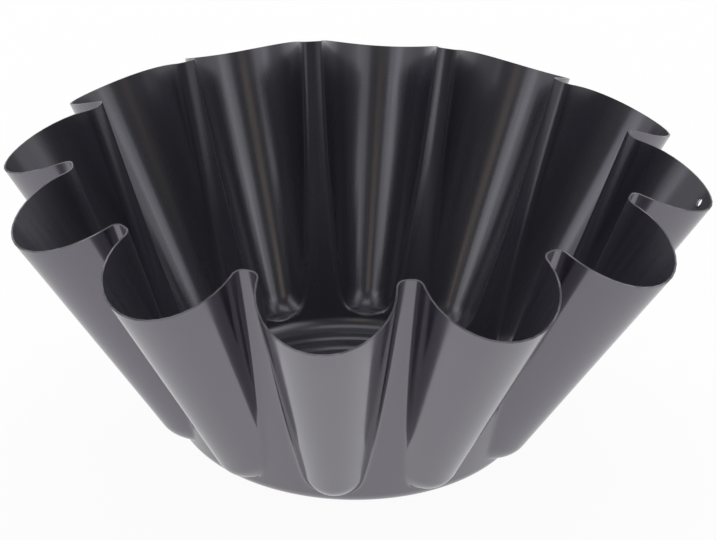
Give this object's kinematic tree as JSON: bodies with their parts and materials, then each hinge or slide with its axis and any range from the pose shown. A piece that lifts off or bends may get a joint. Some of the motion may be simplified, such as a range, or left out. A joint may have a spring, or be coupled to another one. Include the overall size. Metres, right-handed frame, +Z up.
{
  "type": "brioche mould",
  "caption": "Round fluted baking mould pressed from non-stick coated sheet steel, with flared wavy rim, stamped base rings and a small hanging hole.",
  "frame": {"origin": "middle of the base, in the plane of the undersides of the stamped rings, which the mould stands on", "axes": "+Z up along the mould's axis; +X through the middle of the flute that has the hanging hole, which sits on that flute's +Y side"},
  "size_m": [0.22, 0.22, 0.0952],
  "materials": {
    "steel": "bare cut edge",
    "inside_nonstick": "satin, dark anthracite non-stick film",
    "outside_nonstick": "satin to gloss, dark anthracite non-stick film"
  },
  "bodies": {
    "root": {"steel_shell": "steel", "inside_coating": "inside_nonstick", "outside_coating": "outside_nonstick"}
  },
  "joints": []
}
